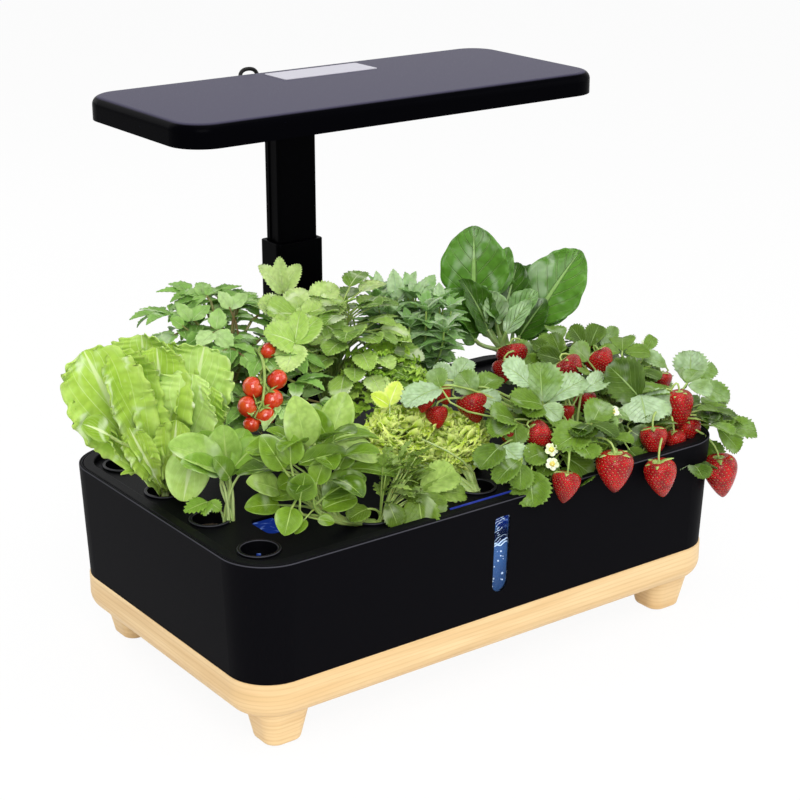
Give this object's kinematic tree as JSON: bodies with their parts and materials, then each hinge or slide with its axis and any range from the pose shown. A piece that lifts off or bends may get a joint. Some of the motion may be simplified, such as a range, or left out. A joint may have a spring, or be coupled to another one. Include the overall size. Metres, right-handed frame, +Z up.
{
  "type": "countertop hydroponic garden",
  "caption": "Planted water tank on a wooden base with a lift-out pod deck, a water window and a height-adjustable grow lamp on a rear mast.",
  "frame": {"origin": "on the surface under the foot pads, below the middle of the tank", "axes": "+Z up, +X along the tank's long side to the right seen from the water window, -Y towards the water window"},
  "size_m": [0.5224, 0.3442, 0.4381],
  "materials": {
    "pale_wood": "oiled",
    "pad_rubber": "matt",
    "screw_steel": "satin",
    "black_shell": "satin",
    "black_deck": "satin",
    "black_basket": "satin",
    "lamp_shell": "satin",
    "mast_metal": "satin",
    "clear_window": "clear",
    "inlet_plastic": "gloss",
    "pump_plastic": "satin",
    "shaft_ceramic": "polished",
    "rotor_plastic": "satin",
    "pale_plate": "satin",
    "board_metal": "satin",
    "frosted_panel": "frosted",
    "lead_rubber": "satin",
    "grow_sponge": "porous",
    "lettuce_leaf": "waxy leaf",
    "pale_leaf": "waxy leaf",
    "bright_leaf": "waxy leaf",
    "mint_leaf": "waxy leaf",
    "tomato_leaf": "waxy leaf",
    "dark_leaf": "waxy leaf",
    "strawberry_leaf": "waxy leaf"
  },
  "bodies": {
    "base": {"wood_base": "pale_wood", "wooden_feet": "pale_wood", "foot_pads": "pad_rubber", "base_screws": "screw_steel", "water_tank": "black_shell", "window_lens": "clear_window", "mast_bracket": "black_shell", "bracket_screws": "screw_steel", "mast_sleeve": "mast_metal", "dc_inlet": "inlet_plastic", "pump_housing": "pump_plastic", "pump_cover": "pump_plastic", "pump_shaft": "shaft_ceramic"},
    "impeller": {"pump_rotor": "rotor_plastic"},
    "deck": {"grow_deck": "black_deck"},
    "lamp": {"inner_post": "mast_metal", "lamp_collar": "black_shell", "lamp_housing": "lamp_shell", "control_plate": "pale_plate", "led_board": "board_metal", "led_diffuser": "frosted_panel", "lamp_lead": "lead_rubber"},
    "pod_01": {"basket_01": "black_basket"},
    "pod_02": {"basket_02": "black_basket", "sponge_02": "grow_sponge", "lettuce": "lettuce_leaf"},
    "pod_03": {"basket_03": "black_basket", "sponge_03": "grow_sponge", "pak_choi": "pale_leaf"},
    "pod_04": {"basket_04": "black_basket"},
    "pod_05": {"basket_05": "black_basket", "sponge_05": "grow_sponge", "basil": "bright_leaf"},
    "pod_06": {"basket_06": "black_basket", "sponge_06": "grow_sponge", "curly_lettuce": "lettuce_leaf"},
    "pod_07": {"basket_07": "black_basket", "sponge_07": "grow_sponge", "strawberry_front": "strawberry_leaf"},
    "pod_08": {"basket_08": "black_basket", "sponge_08": "grow_sponge", "strawberry_corner": "strawberry_leaf"},
    "pod_09": {"basket_09": "black_basket", "sponge_09": "grow_sponge", "strawberry_right": "strawberry_leaf"},
    "pod_10": {"basket_10": "black_basket", "sponge_10": "grow_sponge", "strawberry_rear": "strawberry_leaf"},
    "pod_11": {"basket_11": "black_basket", "sponge_11": "grow_sponge", "chard": "dark_leaf"},
    "pod_12": {"basket_12": "black_basket", "sponge_12": "grow_sponge", "mint": "mint_leaf"},
    "pod_13": {"basket_13": "black_basket", "sponge_13": "grow_sponge", "lemon_balm": "bright_leaf"},
    "pod_14": {"basket_14": "black_basket", "sponge_14": "grow_sponge", "tomato": "tomato_leaf"}
  },
  "joints": [
    {"name": "lamp_height", "type": "slide", "parent": "base", "child": "lamp", "axis": [0, 0, 1], "range_m": [-0.085, 0.08]},
    {"name": "deck_lift", "type": "slide", "parent": "base", "child": "deck", "axis": [0, 0, 1], "range_m": [0, 0.06]},
    {"name": "impeller_spin", "type": "hinge", "parent": "base", "child": "impeller", "pos_m": [0.04, 0.004, 0.0604], "axis": [-1, 0, 0], "continuous": true},
    {"name": "pod_01_lift", "type": "slide", "parent": "deck", "child": "pod_01", "axis": [0, 0, 1], "range_m": [0, 0.06]},
    {"name": "pod_02_lift", "type": "slide", "parent": "deck", "child": "pod_02", "axis": [0, 0, 1], "range_m": [0, 0.06]},
    {"name": "pod_03_lift", "type": "slide", "parent": "deck", "child": "pod_03", "axis": [0, 0, 1], "range_m": [0, 0.06]},
    {"name": "pod_04_lift", "type": "slide", "parent": "deck", "child": "pod_04", "axis": [0, 0, 1], "range_m": [0, 0.06]},
    {"name": "pod_05_lift", "type": "slide", "parent": "deck", "child": "pod_05", "axis": [0, 0, 1], "range_m": [0, 0.06]},
    {"name": "pod_06_lift", "type": "slide", "parent": "deck", "child": "pod_06", "axis": [0, 0, 1], "range_m": [0, 0.06]},
    {"name": "pod_07_lift", "type": "slide", "parent": "deck", "child": "pod_07", "axis": [0, 0, 1], "range_m": [0, 0.06]},
    {"name": "pod_08_lift", "type": "slide", "parent": "deck", "child": "pod_08", "axis": [0, 0, 1], "range_m": [0, 0.06]},
    {"name": "pod_09_lift", "type": "slide", "parent": "deck", "child": "pod_09", "axis": [0, 0, 1], "range_m": [0, 0.06]},
    {"name": "pod_10_lift", "type": "slide", "parent": "deck", "child": "pod_10", "axis": [0, 0, 1], "range_m": [0, 0.06]},
    {"name": "pod_11_lift", "type": "slide", "parent": "deck", "child": "pod_11", "axis": [0, 0, 1], "range_m": [0, 0.06]},
    {"name": "pod_12_lift", "type": "slide", "parent": "deck", "child": "pod_12", "axis": [0, 0, 1], "range_m": [0, 0.06]},
    {"name": "pod_13_lift", "type": "slide", "parent": "deck", "child": "pod_13", "axis": [0, 0, 1], "range_m": [0, 0.06]},
    {"name": "pod_14_lift", "type": "slide", "parent": "deck", "child": "pod_14", "axis": [0, 0, 1], "range_m": [0, 0.06]}
  ]
}
